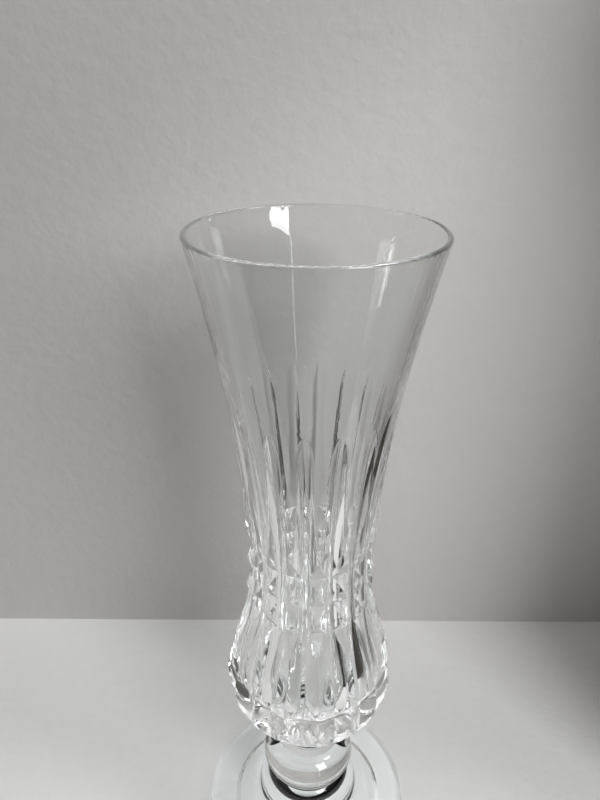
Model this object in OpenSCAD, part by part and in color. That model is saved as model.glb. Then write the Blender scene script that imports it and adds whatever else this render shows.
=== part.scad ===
// Cut crystal champagne flute, standing on its foot.
// Origin: centre of the ring that the glass stands on, +Z up, the cup's mouth at the top.

/* [Overall] */
// Height of the whole glass, foot to rim
total_h = 200; // [170:1:245]
// Outer diameter of the rim
rim_d = 60.6; // [50:0.2:74]
// Outer diameter of the foot
foot_d = 67.8; // [60:0.2:82]

/* [Cup] */
// Outer diameter at the waist, before cutting
waist_d = 36.4; // [31:0.2:43]
// Outer diameter of the bulb under the waist, before cutting
bulb_d = 50.8; // [43:0.2:61]
// Height of the waist above the cup's lower end
waist_rise = 68; // [60:1:76]
// Height of the widest part of the bulb above the cup's lower end
bulb_rise = 22; // [18:0.5:26]
// How fast the mouth flares, as outward travel per unit of height
flare = 0.24; // [0.1:0.01:0.4]
// Wall thickness at the rim
rim_wall = 1.3; // [1:0.1:2]
// Wall thickness at the waist, before cutting
waist_wall = 4.6; // [4:0.1:6]
// Wall thickness at the bulb, before cutting
bulb_wall = 5.4; // [4.8:0.1:7]
// Thickness of the solid glass between the cup's floor and the neck
floor_t = 15; // [12:0.5:17]

/* [Cutting] */
// Number of upright mitre cuts around the cup
cuts = 16; // [14:1:20]
// Angle of the first cut from the front, seen from above
first_cut = -6; // [-11:0.5:11]
// Included angle of the wheel's edge for the upright cuts
wheel_angle = 124; // [116:1:140]
// Width of the narrow flat along the wheel's edge
wheel_flat = 1.2; // [0.6:0.1:1.6]
// Height of the pointed tips of the cuts above the waist
tip_rise = 46; // [36:1:52]
// Length over which each cut runs out into its tip
tip_run = 9; // [6:0.5:14]
// Depth of the cuts just below their tips
arch_depth = 0.75; // [0.6:0.05:1.1]
// Depth to which the ridges between neighbouring cuts lie below the uncut surface
ridge_drop = 0.15; // [0.1:0.05:0.4]
// Number of ring cuts around the waist
rings = 3; // [2:1:4]
// Height of the highest ring cut above the waist
ring_rise = 1.2; // [-2:0.1:6]
// Distance between ring cuts
ring_pitch = 9; // [8:0.1:10]
// Depth of the ring cuts
ring_depth = 1.8; // [1.4:0.1:1.9]
// Included angle of the wheel's edge for the ring cuts
ring_angle = 140; // [128:1:150]

/* [Stem] */
// Diameter of the neck under the cup
neck_d = 17; // [13:0.5:20.5]
// Height of the neck
neck_h = 5.6; // [3:0.2:9]
// How far the neck narrows between its ends
neck_cove = 0.9; // [0:0.1:1.5]
// Diameter of the collar on top of the knop
collar_d = 20.8; // [17:0.2:25]
// Height of the collar
collar_h = 5.6; // [4:0.2:7]
// Rounding of the collar's edges
collar_round = 1.6; // [0.6:0.1:1.9]
// Diameter of the knop
knop_d = 29.4; // [25:0.2:35]
// Height of the knop
knop_h = 13.8; // [11:0.2:17]
// Diameter of the merese between the knop and the foot
merese_d = 27.2; // [24:0.2:28.8]
// Height of the merese
merese_h = 6; // [4:0.2:8]

/* [Foot] */
// Height of the foot at its centre
foot_h = 13; // [10:0.5:16]
// Diameter of the raised boss in the middle of the foot
boss_d = 32; // [30:0.5:40]
// Rounding of the boss's edge
boss_round = 1.5; // [0.5:0.1:1.6]
// Thickness of the foot's rounded edge
foot_edge = 4.2; // [3:0.1:6]
// Width of the flat ring that the glass stands on
foot_land = 7; // [4:0.5:10]
// Depth of the hollow inside that ring
foot_hollow = 1.2; // [0.6:0.1:2]
// Width of the slope between the ring and the hollow
hollow_slope = 2; // [1:0.5:4]

/* [Hidden] */
$fn = 96;

half = wheel_angle / 2;
rim_r = rim_d / 2;
waist_r = waist_d / 2;
bulb_r = bulb_d / 2;
foot_r = foot_d / 2;
neck_r = neck_d / 2;
collar_r = collar_d / 2;
knop_r = knop_d / 2;
merese_r = merese_d / 2;
boss_r = boss_d / 2;

// The pieces of the stem stand on each other, and the cup stands on them
merese_z = foot_h;
knop_z = merese_z + merese_h;
collar_z = knop_z + knop_h;
neck_z = collar_z + collar_h;
cup_z = neck_z + neck_h;
bulb_z = cup_z + bulb_rise;
waist_z = cup_z + waist_rise;
floor_z = cup_z + floor_t;
rim_z = total_h - rim_wall / 2;
tip_z = waist_z + tip_rise;

// Radius of the flat face at which the collar, the knop and the merese meet
joint_r = collar_r - collar_round;

function bezier(p, t) =
    pow(1 - t, 3) * p[0] + 3 * pow(1 - t, 2) * t * p[1] + 3 * (1 - t) * t * t * p[2] + pow(t, 3) * p[3];
function curve(p, n) = [for (i = [0:n]) bezier(p, i / n)];
function tail(points) = [for (i = [1:len(points) - 1]) points[i]];
function reversed(points) = [for (i = [len(points) - 1:-1:0]) points[i]];
function arc(x, z, r, from, to, n) =
    [for (i = [0:n]) let (a = from + (to - from) * i / n) [x + r * cos(a), z + r * sin(a)]];

// Reach of the curves that shape the cup: along the mouth, below the waist, round the bulb
mouth_reach = 30;
waist_reach = 28;
bulb_reach = 8;
// Radius and height over which the cup's underside turns down into the neck
fillet_r = 6;
fillet_h = 5;

// Outer surface of the uncut cup, as [radius, height] points from the rim down
mouth = curve([
    [rim_r, rim_z],
    [rim_r - flare * mouth_reach, rim_z - mouth_reach],
    [waist_r, waist_z + mouth_reach],
    [waist_r, waist_z]
], 12);
shoulder = curve([
    [waist_r, waist_z],
    [waist_r, waist_z - waist_reach],
    [bulb_r, bulb_z + bulb_reach],
    [bulb_r, bulb_z]
], 10);
underside = curve([
    [bulb_r, bulb_z],
    [bulb_r, bulb_z - bulb_reach],
    [bulb_r - 4.4, cup_z + fillet_h * 1.5],
    [neck_r + fillet_r, cup_z + fillet_h]
], 8);
neck_fillet = curve([
    [neck_r + fillet_r, cup_z + fillet_h],
    [neck_r + fillet_r / 3, cup_z + fillet_h * 0.75],
    [neck_r, cup_z + fillet_h / 2],
    [neck_r, cup_z]
], 5);
outside = concat(mouth, tail(shoulder), tail(underside), tail(neck_fillet));

// Inner surface, from the rim down to the middle of the cup's floor
function wall(z) = rim_wall + (waist_wall - rim_wall) * pow((rim_z - z) / (rim_z - waist_z), 2);
inner_waist_r = waist_r - waist_wall;
inner_bulb_r = bulb_r - bulb_wall;
inner_bulb_z = bulb_z + 2;
inside = concat(
    [for (p = mouth) [p[0] - wall(p[1]), p[1]]],
    tail(curve([
        [inner_waist_r, waist_z],
        [inner_waist_r, waist_z - waist_reach],
        [inner_bulb_r, inner_bulb_z + bulb_reach],
        [inner_bulb_r, inner_bulb_z]
    ], 8)),
    tail(curve([
        [inner_bulb_r, inner_bulb_z],
        [inner_bulb_r, floor_z + 3],
        [inner_bulb_r - 6, floor_z],
        [0, floor_z]
    ], 8))
);

// Radius of the outer surface at a height
function outer_r(z) = lookup(z, [for (p = outside) [p[1], p[0]]]);

// How deep a cut has to be for neighbouring cuts to meet in a ridge below the uncut surface
meet = cos(180 / cuts) - sin(180 / cuts) / tan(half);
function full_depth(r) = r * (1 - meet) + ridge_drop - wheel_flat / 2 / tan(half);

// Depth of an upright cut at a height: from nothing at its tip to the full depth at the waist
cut_top = tip_z - tip_run;
function tip_depth(z) =
    let (s = (tip_z - z) / tip_run) s < 1 ? arch_depth * (1 - pow(1 - s, 2)) : arch_depth;
function growth(z) = pow(max(0, min(1, (cut_top - z) / (cut_top - waist_z))), 2);
function cut_depth(z) = tip_depth(z) + (full_depth(outer_r(z)) - arch_depth) * growth(z);

// The line that the wheel's edge follows: in at the tip, down the cup and straight out under
// the bulb. Its heights stay between those of the outer surface's own points.
tip_steps = 4;
cut_steps = 15;
cut_heights = concat(
    [tip_z + tip_run / 3],
    [for (i = [0:tip_steps - 1]) tip_z - tip_run * (i + 0.5) / tip_steps],
    [for (i = [0:cut_steps - 1]) cut_top - (cut_top - bulb_z) * (i + 0.5) / cut_steps]
);
cut_path = concat(
    [for (z = cut_heights) [outer_r(z) - cut_depth(z), z]],
    [[bulb_r - full_depth(bulb_r), cup_z]]
);

// How far the cutters reach outwards, clear of the cup
reach = 7;

module glass() {
    color([0.93, 0.95, 0.95, 0.5]) children();
}

// A solid of revolution from its outer outline, given from the top down, with flat ends
module turned(outline) {
    top = outline[0][1];
    bottom = outline[len(outline) - 1][1];
    glass() rotate_extrude() polygon(concat([[0, top]], outline, [[0, bottom]]));
}

// Outline that swells from one radius at both ends to another in the middle
function swelling(end_r, mid_r, z, h, n) =
    let (rise = mid_r - end_r, r = (rise * rise + h * h / 4) / (2 * rise), a = asin(h / 2 / r))
    arc(mid_r - r, z + h / 2, r, a, -a, n);

// The upright mitre cut, as a wedge with a narrow flat edge that follows cut_path
module upright_cutter() {
    n = len(cut_path);
    flat = wheel_flat / 2;
    side = flat + reach * tan(half);
    section = [[0, -flat], [0, flat], [reach, side], [reach, -side]];
    points = [for (p = cut_path, q = section) [p[0] + q[0], q[1], p[1]]];
    sides = [for (i = [0:n - 2], j = [0:3])
        let (k = (j + 1) % 4) [4 * i + j + 4, 4 * i + k + 4, 4 * i + k, 4 * i + j]];
    polyhedron(points, concat([[0, 1, 2, 3]], sides, [[4 * n - 1, 4 * n - 2, 4 * n - 3, 4 * n - 4]]));
}

module ring_cutter(z) {
    side = reach * tan(ring_angle / 2);
    edge = outer_r(z) - ring_depth;
    rotate_extrude() polygon([[edge, z], [edge + reach, z - side], [edge + reach, z + side]]);
}

module bowl() {
    lip_r = rim_wall / 2;
    lip = arc(rim_r - lip_r, rim_z, lip_r, 165, 15, 6);
    glass() difference() {
        rotate_extrude() polygon(concat(lip, outside, [[0, cup_z]], reversed(inside)));
        for (i = [0:cuts - 1])
            rotate([0, 0, first_cut - 90 + 360 * i / cuts]) upright_cutter();
        for (i = [0:rings - 1])
            ring_cutter(waist_z + ring_rise - ring_pitch * i);
    }
}

module neck() {
    turned(curve([
        [neck_r, cup_z],
        [neck_r - neck_cove, cup_z - neck_h / 3],
        [neck_r - neck_cove, neck_z + neck_h / 3],
        [neck_r, neck_z]
    ], 6));
}

module collar() {
    turned(concat(
        arc(joint_r, neck_z - collar_round, collar_round, 90, 0, 5),
        arc(joint_r, collar_z + collar_round, collar_round, 0, -90, 5)
    ));
}

module knop() {
    turned(swelling(joint_r, knop_r, knop_z, knop_h, 16));
}

module merese() {
    turned(swelling(joint_r, merese_r, merese_z, merese_h, 10));
}

module foot() {
    edge_r = foot_edge / 2;
    edge_x = foot_r - edge_r;
    land_x = edge_x - foot_land;
    top = curve([
        [boss_r, foot_h - boss_round],
        [boss_r + 0.6, foot_h / 2],
        [edge_x - 8, foot_edge + 0.7],
        [edge_x, foot_edge]
    ], 10);
    glass() rotate_extrude() polygon(concat(
        [[0, foot_h]],
        arc(boss_r - boss_round, foot_h - boss_round, boss_round, 90, 0, 4),
        tail(top),
        tail(arc(edge_x, edge_r, edge_r, 90, -90, 10)),
        [[land_x, 0], [land_x - hollow_slope, foot_hollow], [0, foot_hollow]]
    ));
}

bowl();
neck();
collar();
knop();
merese();
foot();
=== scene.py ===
# A cut crystal champagne flute on a pale shelf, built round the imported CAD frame.
# The pieces keep the CAD model's sizes. Their polished surfaces, materials, lights and camera are made here.
import math

import bpy
import numpy as np
from mathutils import Matrix, Vector


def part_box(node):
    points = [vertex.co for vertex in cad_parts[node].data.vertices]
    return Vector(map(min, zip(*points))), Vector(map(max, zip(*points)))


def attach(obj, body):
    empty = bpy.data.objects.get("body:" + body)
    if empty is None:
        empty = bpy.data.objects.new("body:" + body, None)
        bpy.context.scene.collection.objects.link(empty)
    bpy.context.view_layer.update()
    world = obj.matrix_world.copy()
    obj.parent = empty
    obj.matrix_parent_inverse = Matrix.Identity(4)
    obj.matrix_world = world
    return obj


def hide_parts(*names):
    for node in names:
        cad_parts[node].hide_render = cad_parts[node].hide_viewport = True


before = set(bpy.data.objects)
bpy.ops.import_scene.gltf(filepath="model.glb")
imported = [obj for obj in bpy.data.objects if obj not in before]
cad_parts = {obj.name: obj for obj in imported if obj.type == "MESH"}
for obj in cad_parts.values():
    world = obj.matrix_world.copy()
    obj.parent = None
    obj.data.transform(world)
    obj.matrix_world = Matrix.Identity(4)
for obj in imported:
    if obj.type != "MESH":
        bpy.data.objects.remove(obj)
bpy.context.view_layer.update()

MM = 0.001

# ---------------------------------------------------------------- sizes, in millimetres


def ends(node):
    """Lowest and highest height of a CAD node, and its radius."""
    low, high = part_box(node)
    return low.z / MM, high.z / MM, high.x / MM


CUP_Z, TOTAL_H, RIM_R = ends("bowl")
NECK_Z = ends("neck")[0]
COLLAR_Z, _, COLLAR_R = ends("collar")
KNOP_Z, _, KNOP_R = ends("knop")
MERESE_Z, _, MERESE_R = ends("merese")
FOOT_R = ends("foot")[2]

# Driving sizes of the cup that its box doesn't give
WAIST_R = 18.2
BULB_R = 25.4
WAIST_Z = CUP_Z + 68
BULB_Z = CUP_Z + 22
FLARE = 0.24
RIM_WALL = 1.3
WAIST_WALL = 4.6
BULB_WALL = 5.4
FLOOR_Z = CUP_Z + 15

# Reach of the curves that shape the cup, and size of the curve that turns its underside down into the neck
MOUTH_REACH = 30
WAIST_REACH = 28
BULB_REACH = 8
UNDERSIDE_IN = 4.4
FILLET_R = 6
FILLET_H = 5

# The cuts
CUTS = 16
FIRST_CUT = math.radians(-6)
HALF_ANGLE = math.radians(62)
WHEEL_FLAT = 1.2
TIP_Z = WAIST_Z + 46
TIP_RUN = 9
ARCH_DEPTH = 0.75
RIDGE_DROP = 0.15
RING_HEIGHTS = [WAIST_Z + 1.2 - 9 * i for i in range(3)]
RING_HALF_ANGLE = math.radians(70)
RING_DEPTH = 1.8

# Polish: height over which the edges between cuts, the ring cuts' bottoms and the flats' sides are rounded
EDGE_ROUND = 0.08
WHEEL_ROUND = 0.12
FLAT_ROUND = 0.03

# The stem and foot
NECK_R = 8.5
NECK_COVE = 0.9
COLLAR_ROUND = 1.6
JOINT_R = COLLAR_R - COLLAR_ROUND
BOSS_R = 16
BOSS_ROUND = 1.5
FOOT_EDGE = 4.2
FOOT_LAND = 7
FOOT_HOLLOW = 1.2
HOLLOW_SLOPE = 2

# ---------------------------------------------------------------- outlines, as [radius, height] rows


def curve(points, n):
    """A cubic curve through four control points."""
    p = np.array(points, float)
    t = np.linspace(0, 1, n + 1)[:, None]
    return (1 - t) ** 3 * p[0] + 3 * (1 - t) ** 2 * t * p[1] + 3 * (1 - t) * t * t * p[2] + t ** 3 * p[3]


def arc(x, z, r, start, stop, n):
    a = np.radians(np.linspace(start, stop, n + 1))
    return np.stack([x + r * np.cos(a), z + r * np.sin(a)], 1)


def join(*parts):
    """One outline from several, without the points that they share."""
    rows = np.concatenate([np.array(p, float).reshape(-1, 2) for p in parts])
    keep = np.r_[True, np.hypot(*np.diff(rows, axis=0).T) > 1e-4]
    return rows[keep]


def resample(outline, step, extra=()):
    """The outline's points at equal steps along it, and at some extra heights."""
    length = np.r_[0, np.cumsum(np.hypot(*np.diff(outline, axis=0).T))]
    at = list(np.linspace(0, length[-1], max(2, round(length[-1] / step)) + 1))
    order = np.argsort(outline[:, 1])
    at += [float(np.interp(z, outline[order, 1], length[order])) for z in extra]
    at = np.unique(np.round(at, 3))
    at = at[np.r_[True, np.diff(at) > 0.04]]
    return np.stack([np.interp(at, length, outline[:, i]) for i in (0, 1)], 1)


RIM_Z = TOTAL_H - RIM_WALL / 2
mouth = curve([[RIM_R, RIM_Z], [RIM_R - FLARE * MOUTH_REACH, RIM_Z - MOUTH_REACH],
               [WAIST_R, WAIST_Z + MOUTH_REACH], [WAIST_R, WAIST_Z]], 300)
shoulder = curve([[WAIST_R, WAIST_Z], [WAIST_R, WAIST_Z - WAIST_REACH],
                  [BULB_R, BULB_Z + BULB_REACH], [BULB_R, BULB_Z]], 200)
underside = curve([[BULB_R, BULB_Z], [BULB_R, BULB_Z - BULB_REACH],
                   [BULB_R - UNDERSIDE_IN, CUP_Z + FILLET_H * 1.5],
                   [NECK_R + FILLET_R, CUP_Z + FILLET_H]], 120)
fillet = curve([[NECK_R + FILLET_R, CUP_Z + FILLET_H], [NECK_R + FILLET_R / 3, CUP_Z + FILLET_H * 0.75],
                [NECK_R, CUP_Z + FILLET_H / 2], [NECK_R, CUP_Z]], 60)
outside = join(mouth, shoulder, underside, fillet)


def wall(z):
    return RIM_WALL + (WAIST_WALL - RIM_WALL) * ((RIM_Z - z) / (RIM_Z - WAIST_Z)) ** 2


inner_waist_r = WAIST_R - WAIST_WALL
inner_bulb_r = BULB_R - BULB_WALL
inner_bulb_z = BULB_Z + 2
inside = join(
    np.stack([mouth[:, 0] - wall(mouth[:, 1]), mouth[:, 1]], 1),
    curve([[inner_waist_r, WAIST_Z], [inner_waist_r, WAIST_Z - WAIST_REACH],
           [inner_bulb_r, inner_bulb_z + BULB_REACH], [inner_bulb_r, inner_bulb_z]], 200),
    curve([[inner_bulb_r, inner_bulb_z], [inner_bulb_r, FLOOR_Z + 3],
           [inner_bulb_r - 6, FLOOR_Z], [0, FLOOR_Z]], 100),
)

# ---------------------------------------------------------------- the cut surface


def soft_min(a, b, k):
    """The smaller of a and b, rounded over a difference of k, as a polished edge is."""
    h = np.clip(0.5 + 0.5 * (b - a) / k, 0, 1)
    return b * (1 - h) + a * h - k * h * (1 - h)


def outer_r(z):
    return np.interp(z, outside[::-1, 1], outside[::-1, 0])


MEET = math.cos(math.pi / CUTS) - math.sin(math.pi / CUTS) / math.tan(HALF_ANGLE)
SLOPE = 1 / math.tan(HALF_ANGLE)
RING_SLOPE = 1 / math.tan(RING_HALF_ANGLE)
CUT_TOP = TIP_Z - TIP_RUN


def full_depth(r):
    return r * (1 - MEET) + RIDGE_DROP - WHEEL_FLAT / 2 * SLOPE


def cut_line(z):
    """Radius that the wheel's edge reaches at a height."""
    s = (TIP_Z - z) / TIP_RUN
    tip = np.where(s < 1, ARCH_DEPTH * (1 - (1 - s) ** 2), ARCH_DEPTH)
    growth = np.clip((CUT_TOP - z) / (CUT_TOP - WAIST_Z), 0, 1) ** 2
    line = outer_r(z) - tip - (full_depth(outer_r(z)) - ARCH_DEPTH) * growth
    return np.where(z < BULB_Z, BULB_R - full_depth(BULB_R), line)


def turned_r(r, z):
    """Radius of the blank with its ring cuts."""
    for ring in RING_HEIGHTS:
        away = np.sqrt((z - ring) ** 2 + WHEEL_ROUND ** 2) - WHEEL_ROUND
        cone = outer_r(ring) - RING_DEPTH + away * RING_SLOPE
        r = soft_min(r, cone, EDGE_ROUND)
    return r


def cut_r(angle, line):
    """Radius of one upright cut at an angle from its middle: its narrow flat and its two faces."""
    face = line / np.maximum(np.cos(angle) - SLOPE * (np.sin(angle) - WHEEL_FLAT / 2 / line), 0.2)
    return -soft_min(-line / np.cos(angle), -face, FLAT_ROUND)


def edge_angle(line, cap):
    """Angle from the middle of a cut to its edge, where its face meets the surface around it."""
    lean = math.atan(SLOPE)
    start = line - WHEEL_FLAT / 2 * SLOPE
    return np.arccos(np.clip(start / (cap * math.hypot(1, SLOPE)), -1, 1)) - lean


HALF_PITCH = math.pi / CUTS

# How the columns of points are spread: over half of the flat, as shares of it, over half of a cut,
# and over half of the space between two cuts
FLAT_STEPS = (0, 0.5, 0.82, 1, 1.18)
FACE_STEPS = 10
PANEL_STEPS = 7


def ease(n):
    """n + 1 shares from 0 to 1, closer together at both ends."""
    return (1 - np.cos(np.linspace(0, math.pi, n + 1))) / 2


def cup_rows():
    """Rows of points of the cup's outer surface, from the rim down to the neck."""
    special = []
    for ring in RING_HEIGHTS:
        special += [ring + d for d in (-0.5, -0.25, -0.1, 0, 0.1, 0.25, 0.5)]
        special += list(np.arange(ring - 5, ring + 5, 0.4))
    special += list(np.arange(CUT_TOP, TIP_Z + 1, 0.4))
    special += list(np.arange(BULB_Z - 12, BULB_Z + 1, 0.5))
    line = resample(outside, 1.1, special)
    r, z = line.T
    cap = turned_r(r, z)
    groove = cut_line(z)
    edge = edge_angle(groove, cap)
    edge = np.clip(edge, 0.10 / r, HALF_PITCH - 0.20 / r)
    away = np.where(z > TIP_Z, z - TIP_Z, np.where(z < BULB_Z - 6, BULB_Z - 6 - z, 0))
    plain = (groove > cap + 0.3)
    fan = np.clip(away / 12, 0, 1)
    edge = np.where(plain, edge + (HALF_PITCH * FACE_STEPS / (FACE_STEPS + PANEL_STEPS) - edge) * fan, edge)
    flat = np.minimum(np.arcsin(WHEEL_FLAT / 2 / groove), edge * 0.6)
    start = flat * FLAT_STEPS[-1]
    slope = start[:, None] + (edge - start)[:, None] * ease(FACE_STEPS - len(FLAT_STEPS) + 1)[None, 1:]
    face = np.concatenate([flat[:, None] * np.array(FLAT_STEPS)[None], slope], 1)
    panel = edge[:, None] + (HALF_PITCH - edge)[:, None] * ease(PANEL_STEPS)[None, 1:]
    half = np.concatenate([face, panel], 1)
    full = np.concatenate([half, 2 * HALF_PITCH - half[:, -2:0:-1]], 1)
    nearest = np.minimum(full, 2 * HALF_PITCH - full)
    one = cut_r(nearest, groove[:, None])
    other = cut_r(2 * HALF_PITCH - nearest, groove[:, None])
    radius = soft_min(soft_min(one, other, EDGE_ROUND), cap[:, None], EDGE_ROUND)
    radius = np.where(plain[:, None], cap[:, None], radius)
    angles = np.concatenate([full + 2 * HALF_PITCH * i for i in range(CUTS)], 1)
    return np.tile(radius, (1, CUTS)), angles, z


# ---------------------------------------------------------------- meshes

GLASS, JOINT = 0, 1


def grid_mesh(name, rows, top_pole=None, bottom_pole=None, joint_rows=()):
    """A closed skin from rows of points round the Z axis, the first row highest. A pole closes an end."""
    n_rows, n = len(rows), len(rows[0])
    verts = np.concatenate(rows)
    faces = []
    kinds = []
    for i in range(n_rows - 1):
        for j in range(n):
            k = (j + 1) % n
            faces.append((i * n + j, (i + 1) * n + j, (i + 1) * n + k, i * n + k))
            kinds.append(JOINT if i in joint_rows else GLASS)
    poles = []
    for row, pole in ((0, top_pole), (n_rows - 1, bottom_pole)):
        if pole is None:
            continue
        at = len(verts) + len(poles)
        poles.append(pole)
        for j in range(n):
            k = (j + 1) % n
            a, b = row * n + j, row * n + k
            faces.append((at, a, b) if row == 0 else (at, b, a))
            kinds.append(JOINT if row in joint_rows or (row and row - 1 in joint_rows) else GLASS)
    if poles:
        verts = np.concatenate([verts, np.array(poles)])
    mesh = bpy.data.meshes.new(name)
    mesh.from_pydata((verts * MM).tolist(), [], faces)
    mesh.polygons.foreach_set("material_index", kinds)
    mesh.polygons.foreach_set("use_smooth", [True] * len(faces))
    mesh.update()
    piece = bpy.data.objects.new(name, mesh)
    bpy.context.collection.objects.link(piece)
    return piece


def ring(r, z, angles):
    """A row of points round the Z axis; r and angles may be one value or one each."""
    turn = angles + FIRST_CUT - math.pi / 2
    return np.stack([r * np.cos(turn), r * np.sin(turn), np.full(len(angles), z)], 1)


def finish_piece(piece, node, glass):
    piece.data.materials.append(glass)
    piece.data.materials.append(JOINT_GLASS)
    weighted = piece.modifiers.new("facet_normals", "WEIGHTED_NORMAL")
    weighted.keep_sharp = True
    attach(piece, "root")
    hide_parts(node)


def make_cup(glass):
    radius, angles, heights = cup_rows()
    rows = [ring(radius[i], heights[i], angles[i]) for i in range(len(heights))]
    top = angles[0]
    lip = arc(RIM_R - RIM_WALL / 2, RIM_Z, RIM_WALL / 2, 172, 8, 14)
    inner = resample(inside, 1.4)[::-1]
    inner = inner[inner[:, 0] > 0.01]
    closing = [ring(NECK_R * s, CUP_Z, angles[-1]) for s in (0.98, 0.6, 0.25)]
    body = [ring(r, z, top) for r, z in inner] + [ring(r, z, top) for r, z in lip] + rows + closing
    joints = range(len(body) - 4, len(body))
    cup = grid_mesh("cut_cup", body, (0, 0, FLOOR_Z), (0, 0, CUP_Z), joints)
    finish_piece(cup, "bowl", glass)


SEGMENTS = 160


def turned_piece(name, node, outline, top_joint, bottom_joint, glass):
    """A solid of revolution from its outline, top first. Its ends are joint faces out to the given radii."""
    angles = np.linspace(0, 2 * math.pi, SEGMENTS, endpoint=False)
    top_z, bottom_z = outline[0][1], outline[-1][1]
    rows = []
    joints = []
    for s in (0.3, 0.65, 1) if top_joint else ():
        rows.append((top_joint * s, top_z))
    joints += list(range(-1, len(rows) - 1))
    rows += [tuple(p) for p in outline if not (top_joint and abs(p[0] - top_joint) < 1e-3 and p[1] == top_z)]
    if bottom_joint:
        if abs(rows[-1][0] - bottom_joint) > 1e-3:
            rows.append((bottom_joint, bottom_z))
        joints += [len(rows) - 1, len(rows)]
        rows += [(bottom_joint * 0.65, bottom_z), (bottom_joint * 0.3, bottom_z)]
    body = [ring(r, z, angles) for r, z in rows]
    if top_joint:
        joints.append(0)
    piece = grid_mesh(name, body, (0, 0, top_z), (0, 0, bottom_z), set(joints))
    finish_piece(piece, node, glass)


def swelling(end_r, mid_r, z, h, n):
    """Outline that swells from one radius at both ends to another in the middle."""
    rise = mid_r - end_r
    r = (rise * rise + h * h / 4) / (2 * rise)
    a = math.degrees(math.asin(h / 2 / r))
    return arc(mid_r - r, z + h / 2, r, a, -a, n)


def make_stem(glass):
    gap = CUP_Z - NECK_Z
    neck = curve([[NECK_R, CUP_Z], [NECK_R - NECK_COVE, CUP_Z - gap / 3],
                  [NECK_R - NECK_COVE, NECK_Z + gap / 3], [NECK_R, NECK_Z]], 16)
    collar = join(arc(JOINT_R, NECK_Z - COLLAR_ROUND, COLLAR_ROUND, 90, 0, 12),
                  arc(JOINT_R, COLLAR_Z + COLLAR_ROUND, COLLAR_ROUND, 0, -90, 12))
    turned_piece("stem_neck", "neck", neck, NECK_R, NECK_R, glass)
    turned_piece("stem_collar", "collar", collar, NECK_R, JOINT_R, glass)
    knop = swelling(JOINT_R, KNOP_R, KNOP_Z, COLLAR_Z - KNOP_Z, 48)
    turned_piece("stem_knop", "knop", knop, JOINT_R, JOINT_R, glass)
    merese = swelling(JOINT_R, MERESE_R, MERESE_Z, KNOP_Z - MERESE_Z, 30)
    turned_piece("stem_merese", "merese", merese, JOINT_R, JOINT_R, glass)


def make_foot(glass):
    edge_r = FOOT_EDGE / 2
    edge_x = FOOT_R - edge_r
    land_x = edge_x - FOOT_LAND
    outline = join(
        [[JOINT_R, MERESE_Z], [JOINT_R + 3, MERESE_Z]],
        arc(BOSS_R - BOSS_ROUND, MERESE_Z - BOSS_ROUND, BOSS_ROUND, 90, 0, 10),
        curve([[BOSS_R, MERESE_Z - BOSS_ROUND], [BOSS_R + 0.6, MERESE_Z / 2],
               [edge_x - 8, FOOT_EDGE + 0.7], [edge_x, FOOT_EDGE]], 50),
        arc(edge_x, edge_r, edge_r, 90, -90, 24),
        [[land_x, 0], [land_x - HOLLOW_SLOPE * 0.2, FOOT_HOLLOW * 0.08],
         [land_x - HOLLOW_SLOPE * 0.8, FOOT_HOLLOW * 0.92], [land_x - HOLLOW_SLOPE, FOOT_HOLLOW],
         [land_x * 0.5, FOOT_HOLLOW], [1, FOOT_HOLLOW]],
    )
    turned_piece("round_foot", "foot", outline, JOINT_R, None, glass)


# ---------------------------------------------------------------- materials


def new_material(name):
    mat = bpy.data.materials.new(name)
    mat.use_nodes = True
    nt = mat.node_tree
    return mat, nt, nt.nodes["Principled BSDF"]


def link(nt, a, b):
    nt.links.new(a, b)


def crystal(name, smear, ripple, shade):
    """Colourless lead crystal, with faint polishing smears in its gloss and a very slight ripple."""
    mat, nt, shader = new_material(name)
    shader.inputs["Base Color"].default_value = (0.965, 0.972, 0.97, 1)
    shader.inputs["Transmission Weight"].default_value = 1
    shader.inputs["IOR"].default_value = 1.545
    place = nt.nodes.new("ShaderNodeTexCoord")
    smears = nt.nodes.new("ShaderNodeTexNoise")
    smears.inputs["Scale"].default_value = 90
    smears.inputs["Detail"].default_value = 4
    gloss = nt.nodes.new("ShaderNodeMapRange")
    gloss.inputs["From Min"].default_value = 0.45
    gloss.inputs["From Max"].default_value = 0.8
    gloss.inputs["To Min"].default_value = 0.0
    gloss.inputs["To Max"].default_value = smear
    ripples = nt.nodes.new("ShaderNodeTexNoise")
    ripples.inputs["Scale"].default_value = 120
    ripples.inputs["Detail"].default_value = 1
    bump = nt.nodes.new("ShaderNodeBump")
    bump.inputs["Strength"].default_value = ripple
    bump.inputs["Distance"].default_value = 0.0002
    link(nt, place.outputs["Object"], smears.inputs["Vector"])
    link(nt, place.outputs["Object"], ripples.inputs["Vector"])
    link(nt, smears.outputs["Fac"], gloss.inputs["Value"])
    link(nt, gloss.outputs["Result"], shader.inputs["Roughness"])
    link(nt, ripples.outputs["Fac"], bump.inputs["Height"])
    link(nt, bump.outputs["Normal"], shader.inputs["Normal"])
    let_lamps_through(nt, shader, shade)
    return mat


def let_lamps_through(nt, shader, shade):
    """Lamps shine through the glass and leave a soft shadow; shade is the share that a surface passes."""
    path = nt.nodes.new("ShaderNodeLightPath")
    thin = nt.nodes.new("ShaderNodeBsdfTransparent")
    thin.inputs["Color"].default_value = (shade, shade + 0.01, shade + 0.01, 1)
    mix = nt.nodes.new("ShaderNodeMixShader")
    link(nt, path.outputs["Is Shadow Ray"], mix.inputs["Fac"])
    link(nt, shader.outputs[0], mix.inputs[1])
    link(nt, thin.outputs[0], mix.inputs[2])
    link(nt, mix.outputs[0], nt.nodes["Material Output"].inputs["Surface"])


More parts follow.
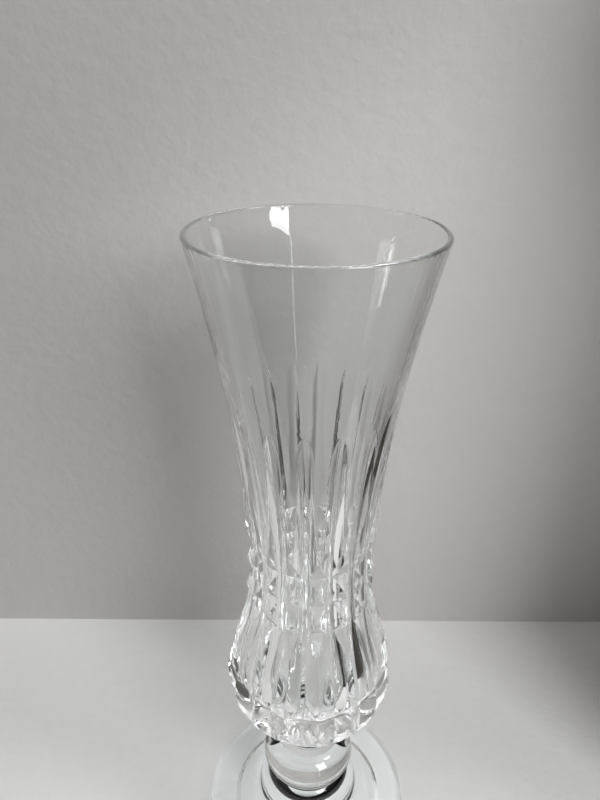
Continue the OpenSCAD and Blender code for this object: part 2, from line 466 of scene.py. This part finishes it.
def fused_joint():
    """The face at which two pieces of glass are melted together: nothing shows there."""
    mat, nt, shader = new_material("fused_joint")
    nt.nodes.remove(shader)
    clear = nt.nodes.new("ShaderNodeBsdfTransparent")
    link(nt, clear.outputs[0], nt.nodes["Material Output"].inputs["Surface"])
    return mat


def plaster(name, colour, one_sided):
    """Matt paint with a fine grain; one-sided paint is clear from behind."""
    mat, nt, shader = new_material(name)
    shader.inputs["Roughness"].default_value = 0.9
    place = nt.nodes.new("ShaderNodeTexCoord")
    grain = nt.nodes.new("ShaderNodeTexNoise")
    grain.inputs["Scale"].default_value = 260
    grain.inputs["Detail"].default_value = 5
    tone = nt.nodes.new("ShaderNodeMixRGB")
    tone.inputs["Color1"].default_value = (*[c * 0.94 for c in colour], 1)
    tone.inputs["Color2"].default_value = (*colour, 1)
    bump = nt.nodes.new("ShaderNodeBump")
    bump.inputs["Strength"].default_value = 0.25
    bump.inputs["Distance"].default_value = 0.001
    link(nt, place.outputs["Object"], grain.inputs["Vector"])
    link(nt, grain.outputs["Fac"], tone.inputs["Fac"])
    link(nt, tone.outputs["Color"], shader.inputs["Base Color"])
    link(nt, grain.outputs["Fac"], bump.inputs["Height"])
    link(nt, bump.outputs["Normal"], shader.inputs["Normal"])
    if one_sided:
        facing = nt.nodes.new("ShaderNodeNewGeometry")
        clear = nt.nodes.new("ShaderNodeBsdfTransparent")
        mix = nt.nodes.new("ShaderNodeMixShader")
        link(nt, facing.outputs["Backfacing"], mix.inputs["Fac"])
        link(nt, shader.outputs[0], mix.inputs[1])
        link(nt, clear.outputs[0], mix.inputs[2])
        link(nt, mix.outputs[0], nt.nodes["Material Output"].inputs["Surface"])
    return mat


# ---------------------------------------------------------------- stage, lights and camera

WALL_Y = 83
SHELF_LEFT = -600
SHELF_RIGHT = 143
SHELF_FRONT = -95
SHELF_THICK = 30
SHELF_GAP = 0.15
WALL_HALF = 1500
WALL_LOW = -900
WALL_TOP = 1500
REVEAL_FRONT = -35
REVEAL_LOW = -1
REVEAL_TOP = 330
CAMERA_PLACE = (-3.4, -152.85, 234.9)
CAMERA_DOWN = 26.96
CAMERA_ROLL = 0.333
LENS = 30.6


def sheet(name, corners, material):
    mesh = bpy.data.meshes.new(name)
    mesh.from_pydata([[c * MM for c in p] for p in corners], [], [(0, 1, 2, 3)])
    mesh.materials.append(material)
    obj = bpy.data.objects.new(name, mesh)
    bpy.context.collection.objects.link(obj)
    return obj


def facing_up(left, right, front, back, z):
    """Corners of a level sheet that faces up."""
    return [(left, front, z), (right, front, z), (right, back, z), (left, back, z)]


def facing_front(left, right, low, top, y):
    """Corners of an upright sheet that faces the front."""
    return [(left, y, low), (right, y, low), (right, y, top), (left, y, top)]


def facing_right(front, back, low, top, x):
    """Corners of an upright sheet that faces the right."""
    return [(x, front, low), (x, back, low), (x, back, top), (x, front, top)]


def make_stage():
    """A pale shelf along a wall, and the dark side of a window opening, which only shades the scene."""
    paint = plaster("shelf_paint", (0.80, 0.795, 0.785), False)
    top, low = -SHELF_GAP, -SHELF_THICK
    left, right, front = SHELF_LEFT, SHELF_RIGHT, SHELF_FRONT
    sheet("shelf", facing_up(left, right, front, WALL_Y, top), paint)
    sheet("shelf_edge", facing_front(left, right, low, top, front), paint)
    sheet("shelf_end", facing_right(front, WALL_Y, low, top, right), paint)
    sheet("wall", facing_front(-WALL_HALF, WALL_HALF, WALL_LOW, WALL_TOP, WALL_Y),
          plaster("wall_paint", (0.50, 0.486, 0.473), True))
    reveal = sheet("window_reveal", facing_right(REVEAL_FRONT, WALL_Y, REVEAL_LOW, REVEAL_TOP, right),
                   plaster("reveal_paint", (0.10, 0.09, 0.07), False))
    reveal.visible_camera = False


def area_light(name, place, aim, width, height, brightness, colour):
    """A soft rectangular light; brightness is its radiance, so its size can change by itself."""
    data = bpy.data.lights.new(name, "AREA")
    data.shape = "RECTANGLE"
    data.size, data.size_y = width * MM, height * MM
    data.energy = brightness * math.pi * data.size * data.size_y
    data.color = colour
    obj = bpy.data.objects.new(name, data)
    obj.location = Vector(place) * MM
    obj.rotation_euler = (Vector(aim) - Vector(place)).to_track_quat("-Z", "Y").to_euler()
    obj.visible_camera = False
    bpy.context.collection.objects.link(obj)


PALE_SIDE = (-0.25, 0.15, 0.955)


def make_room():
    """Surroundings that are pale above and dark below, and a little paler on the left and behind."""
    world = bpy.data.worlds.new("room")
    bpy.context.scene.world = world
    world.use_nodes = True
    nt = world.node_tree
    place = nt.nodes.new("ShaderNodeTexCoord")
    side = nt.nodes.new("ShaderNodeVectorMath")
    side.operation = "DOT_PRODUCT"
    side.inputs[1].default_value = PALE_SIDE
    tone = nt.nodes.new("ShaderNodeMapRange")
    tone.interpolation_type = "SMOOTHSTEP"
    tone.inputs["From Min"].default_value = -0.5
    tone.inputs["From Max"].default_value = 0.8
    tone.inputs["To Min"].default_value = 0.02
    tone.inputs["To Max"].default_value = 0.5
    link(nt, place.outputs["Generated"], side.inputs[0])
    link(nt, side.outputs["Value"], tone.inputs["Value"])
    link(nt, tone.outputs["Result"], nt.nodes["Background"].inputs["Strength"])
    nt.nodes["Background"].inputs["Color"].default_value = (1, 0.99, 0.97, 1)


MIDDLE = (0, 0, 120)
BULB = (0, 0, 60)
DAYLIGHT = (0.97, 0.985, 1)
SOFT_LIGHT = (0.98, 0.99, 1)

# Place, what it faces, width, height, brightness and colour
LIGHTS = {
    "window": ((447, -616, 612), MIDDLE, 300, 500, 11, DAYLIGHT),
    "window_gap": ((321, -689, 150), MIDDLE, 12, 420, 4, DAYLIGHT),
    "skylight": ((461, -123, 763), BULB, 220, 220, 17, SOFT_LIGHT),
    "side_window": ((-800, -60, 225), MIDDLE, 50, 110, 5, DAYLIGHT),
}
GLOW_PLACE = (120, -300, 330)
GLOW_AIM = (42, WALL_Y, 125)
GLOW_POWER = 2.6
GLOW_ANGLE = math.radians(36)
GLOW_LAMP_R = 30


def wall_glow():
    """A soft patch of light on the wall behind the glass, which shows in no reflection."""
    data = bpy.data.lights.new("glow", "SPOT")
    data.energy = GLOW_POWER
    data.spot_size = GLOW_ANGLE
    data.spot_blend = 1
    data.shadow_soft_size = GLOW_LAMP_R * MM
    obj = bpy.data.objects.new("glow", data)
    obj.location = Vector(GLOW_PLACE) * MM
    obj.rotation_euler = (Vector(GLOW_AIM) - Vector(GLOW_PLACE)).to_track_quat("-Z", "Y").to_euler()
    obj.visible_camera = obj.visible_glossy = obj.visible_transmission = False
    bpy.context.collection.objects.link(obj)


def make_lights():
    for name, light in LIGHTS.items():
        area_light(name, *light)
    wall_glow()


def make_camera():
    data = bpy.data.cameras.new("camera")
    data.lens = LENS
    data.sensor_width = 36
    data.clip_start = 0.01
    camera = bpy.data.objects.new("camera", data)
    tilt = Matrix.Rotation(math.radians(90 - CAMERA_DOWN), 4, "X")
    roll = Matrix.Rotation(math.radians(CAMERA_ROLL), 4, "Z")
    camera.matrix_world = Matrix.Translation(Vector(CAMERA_PLACE) * MM) @ tilt @ roll
    bpy.context.collection.objects.link(camera)
    bpy.context.scene.camera = camera


def light_paths():
    """Enough bounces for light to travel round inside the rim and the stem, as it does in real glass."""
    cycles = bpy.context.scene.cycles
    cycles.max_bounces = 128
    cycles.transmission_bounces = 128
    cycles.glossy_bounces = 96
    cycles.transparent_max_bounces = 64
    bpy.context.scene.view_settings.view_transform = "Standard"


JOINT_GLASS = fused_joint()
make_camera()
make_cup(crystal("cut_crystal", 0.02, 0.05, 0.45))
plain = crystal("plain_crystal", 0.02, 0.05, 0.76)
make_stem(plain)
make_foot(plain)
make_stage()
make_room()
make_lights()
light_paths()
